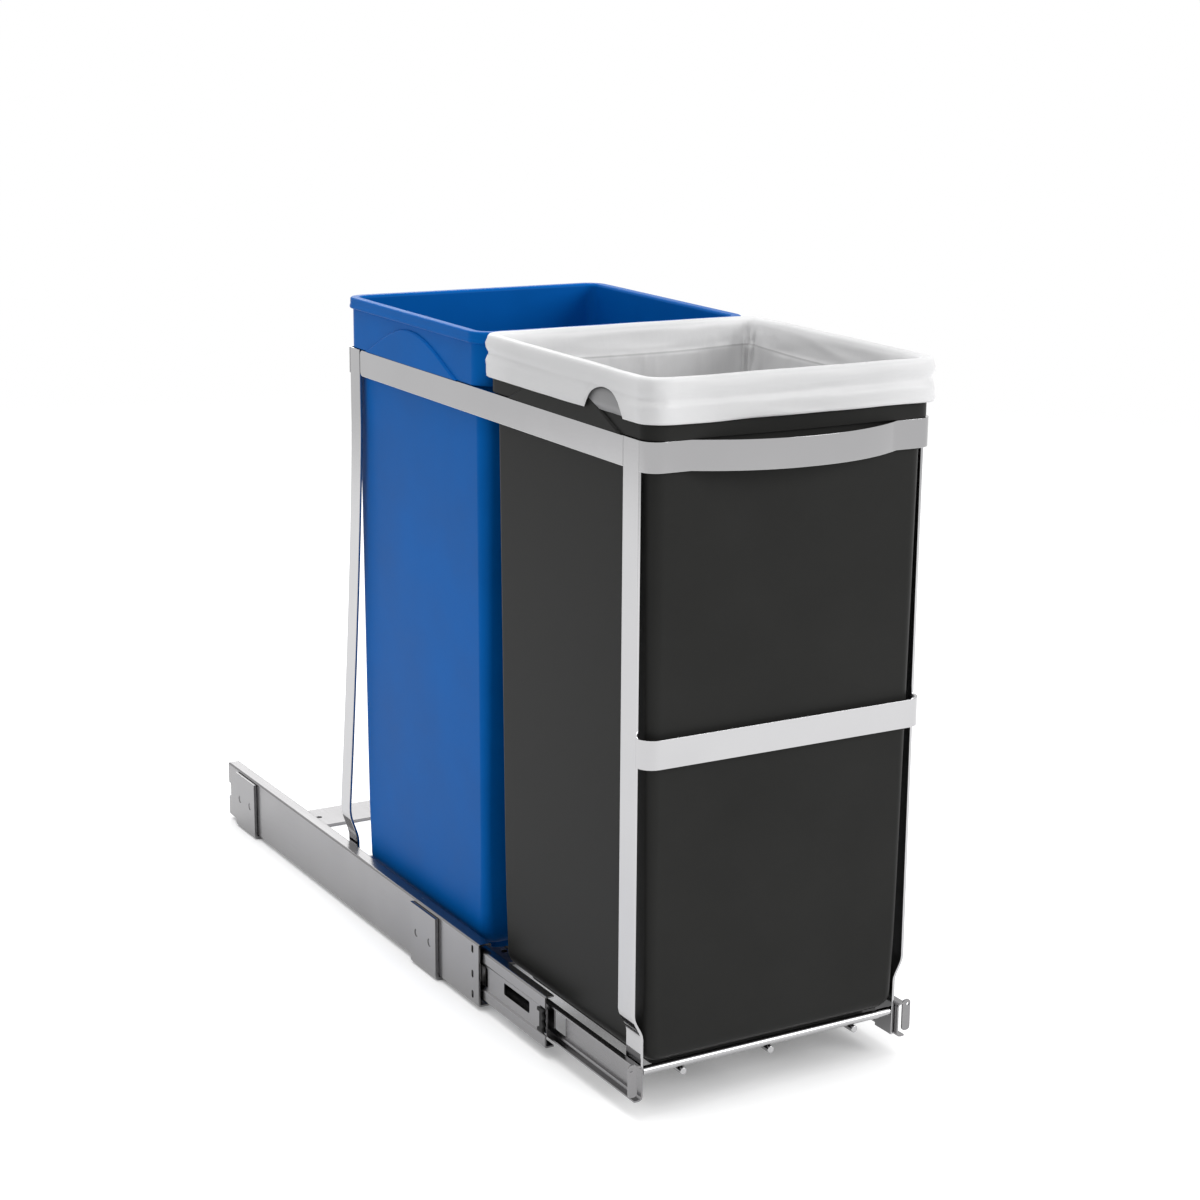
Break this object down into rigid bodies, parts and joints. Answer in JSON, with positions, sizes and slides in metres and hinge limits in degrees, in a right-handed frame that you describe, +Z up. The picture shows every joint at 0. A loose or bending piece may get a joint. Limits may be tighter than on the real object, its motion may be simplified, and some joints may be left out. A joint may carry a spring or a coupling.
{
  "type": "pull out waste bin cabinet insert",
  "caption": "Narrow pull-out waste sorting insert: a chromed flat-bar frame on ball-bearing slides carries a charcoal bin with a white liner and a blue bin behind it.",
  "frame": {"origin": "centre of the footprint on the cabinet floor, with the frame drawn out as in the picture", "axes": "+Z up, -Y towards the user (the way the frame pulls out), +X to the user's right"},
  "size_m": [0.23, 0.7114, 0.4787],
  "materials": {
    "chromed_steel": "polished chrome plate over flat steel bar",
    "zinc_steel": "zinc-plated rolled steel, satin",
    "cage_steel": "plain steel ball cage",
    "black_rubber": "black moulded rubber",
    "charcoal_plastic": "fine-grained charcoal polypropylene",
    "blue_plastic": "fine-grained blue polypropylene",
    "white_film": "thin white polyethylene film",
    "grey_film": "grey polyethylene drawstring tape"
  },
  "bodies": {
    "base": {"outer_rail_left": "zinc_steel", "outer_rail_right": "zinc_steel", "cross_strap_front": "zinc_steel", "cross_strap_rear": "zinc_steel", "rear_bumper_left": "black_rubber", "rear_bumper_right": "black_rubber"},
    "carriage": {"inner_rail_left": "zinc_steel", "inner_rail_right": "zinc_steel", "post_front_left": "chromed_steel", "post_front_right": "chromed_steel", "post_rear_left": "chromed_steel", "post_rear_right": "chromed_steel", "side_band_left": "chromed_steel", "side_band_right": "chromed_steel", "handle_band": "chromed_steel", "mid_band": "chromed_steel", "rear_band": "chromed_steel", "floor_rod_front": "chromed_steel", "floor_rod_rear": "chromed_steel", "floor_wire_1": "chromed_steel", "floor_wire_2": "chromed_steel", "floor_wire_3": "chromed_steel"},
    "black_bin_unit": {"black_bin": "charcoal_plastic", "bin_liner": "white_film", "liner_drawstring": "grey_film"},
    "blue_bin_unit": {"blue_bin": "blue_plastic"},
    "middle_left": {"middle_rail_left": "zinc_steel", "front_bumper_left": "black_rubber"},
    "outer_balls_left": {"outer_cage_left": "cage_steel"},
    "inner_balls_left": {"inner_cage_left": "cage_steel"},
    "middle_right": {"middle_rail_right": "zinc_steel", "front_bumper_right": "black_rubber"},
    "outer_balls_right": {"outer_cage_right": "cage_steel"},
    "inner_balls_right": {"inner_cage_right": "cage_steel"}
  },
  "joints": [
    {"name": "frame_slide", "type": "slide", "parent": "base", "child": "carriage", "axis": [0, -1, 0], "range_m": [-0.207, 0.244]},
    {"name": "middle_left_slide", "type": "slide", "parent": "base", "child": "middle_left", "axis": [0, -1, 0], "range_m": [-0.1035, 0.122]},
    {"name": "outer_balls_left_slide", "type": "slide", "parent": "base", "child": "outer_balls_left", "axis": [0, -1, 0], "range_m": [-0.05175, 0.061]},
    {"name": "inner_balls_left_slide", "type": "slide", "parent": "base", "child": "inner_balls_left", "axis": [0, -1, 0], "range_m": [-0.15525, 0.183]},
    {"name": "middle_right_slide", "type": "slide", "parent": "base", "child": "middle_right", "axis": [0, -1, 0], "range_m": [-0.1035, 0.122]},
    {"name": "outer_balls_right_slide", "type": "slide", "parent": "base", "child": "outer_balls_right", "axis": [0, -1, 0], "range_m": [-0.05175, 0.061]},
    {"name": "inner_balls_right_slide", "type": "slide", "parent": "base", "child": "inner_balls_right", "axis": [0, -1, 0], "range_m": [-0.15525, 0.183]},
    {"name": "black_bin_lift", "type": "slide", "parent": "carriage", "child": "black_bin_unit", "axis": [0, 0, 1], "range_m": [0, 0.45]},
    {"name": "blue_bin_lift", "type": "slide", "parent": "carriage", "child": "blue_bin_unit", "axis": [0, 0, 1], "range_m": [0, 0.45]}
  ],
  "couplings": [
    {"joint": "middle_left_slide", "follows": "frame_slide", "ratio": 0.5},
    {"joint": "outer_balls_left_slide", "follows": "frame_slide", "ratio": 0.25},
    {"joint": "inner_balls_left_slide", "follows": "frame_slide", "ratio": 0.75},
    {"joint": "middle_right_slide", "follows": "frame_slide", "ratio": 0.5},
    {"joint": "outer_balls_right_slide", "follows": "frame_slide", "ratio": 0.25},
    {"joint": "inner_balls_right_slide", "follows": "frame_slide", "ratio": 0.75}
  ]
}
